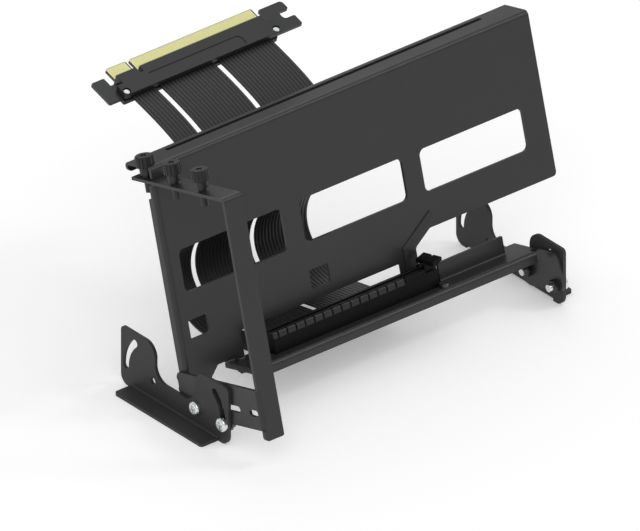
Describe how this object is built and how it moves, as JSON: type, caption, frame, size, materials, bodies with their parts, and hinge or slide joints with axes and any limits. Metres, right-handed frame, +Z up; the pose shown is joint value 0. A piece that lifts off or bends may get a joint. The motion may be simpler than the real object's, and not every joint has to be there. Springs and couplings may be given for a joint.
{
  "type": "vertical graphics card mount",
  "caption": "Folded steel stand that holds a graphics card upright beside a board, with tilting feet, a card slot at its foot and a keyed riser plug on flat ribbon cables.",
  "frame": {"origin": "on the ground under the middle of the standing part, ribbons and plug apart", "axes": "+X along the main plate from the screw shelf to the free end, +Y to the back, where the top of the plate leans, +Z up"},
  "size_m": [0.2342, 0.1688, 0.1323],
  "materials": {
    "powder_coat": "matt powder coat",
    "black_steel": "blackened",
    "zinc": "bright zinc",
    "slot_plastic": "fine matt",
    "slot_steel": "black plated",
    "gold": "gold plated",
    "board": "black solder mask",
    "plug_plastic": "satin",
    "ribbon": "satin ribbed"
  },
  "bodies": {
    "bracket": {"main_plate": "powder_coat", "end_frame": "powder_coat", "frame_rivets": "powder_coat", "slot_board": "board", "slot_screws": "zinc", "slot_nuts": "black_steel", "slot_housing": "slot_plastic", "slot_shell": "slot_steel", "slot_contacts": "gold", "pivot_screw_left": "zinc", "pivot_nut_left": "black_steel", "lock_screw_left": "zinc", "lock_nut_left": "black_steel", "pivot_screw_right": "zinc", "pivot_nut_right": "black_steel", "lock_screw_right": "zinc", "lock_nut_right": "black_steel", "plug_board": "board", "plug_fingers": "gold", "plug_cover_top": "plug_plastic", "plug_cover_bottom": "plug_plastic", "plug_screws": "zinc", "ribbon_1": "ribbon", "ribbon_2": "ribbon", "ribbon_3": "ribbon"},
    "foot_left": {"foot_left": "powder_coat"},
    "foot_right": {"foot_right": "powder_coat"},
    "thumbscrew_1": {"thumbscrew_1": "black_steel"},
    "thumbscrew_2": {"thumbscrew_2": "black_steel"},
    "thumbscrew_3": {"thumbscrew_3": "black_steel"},
    "slot_latch": {"slot_latch": "slot_plastic"}
  },
  "joints": [
    {"name": "foot_left_tilt", "type": "hinge", "parent": "bracket", "child": "foot_left", "pos_m": [-0.10637, -0.00344, 0.0103], "axis": [1, 0, 0], "range_deg": [0, 30]},
    {"name": "foot_right_tilt", "type": "hinge", "parent": "bracket", "child": "foot_right", "pos_m": [0.08977, -0.00344, 0.0103], "axis": [1, 0, 0], "range_deg": [0, 30]},
    {"name": "thumbscrew_1_travel", "type": "slide", "parent": "bracket", "child": "thumbscrew_1", "axis": [0, 0.2588, 0.9659], "range_m": [-0.0018, 0.005]},
    {"name": "thumbscrew_2_travel", "type": "slide", "parent": "bracket", "child": "thumbscrew_2", "axis": [0, 0.2588, 0.9659], "range_m": [-0.0018, 0.005]},
    {"name": "thumbscrew_3_travel", "type": "slide", "parent": "bracket", "child": "thumbscrew_3", "axis": [0, 0.2588, 0.9659], "range_m": [-0.0018, 0.005]},
    {"name": "slot_latch_swing", "type": "hinge", "parent": "bracket", "child": "slot_latch", "pos_m": [0.03033, -0.00194, 0.02284], "axis": [0, 0.9659, -0.2588], "range_deg": [0, 20]}
  ]
}
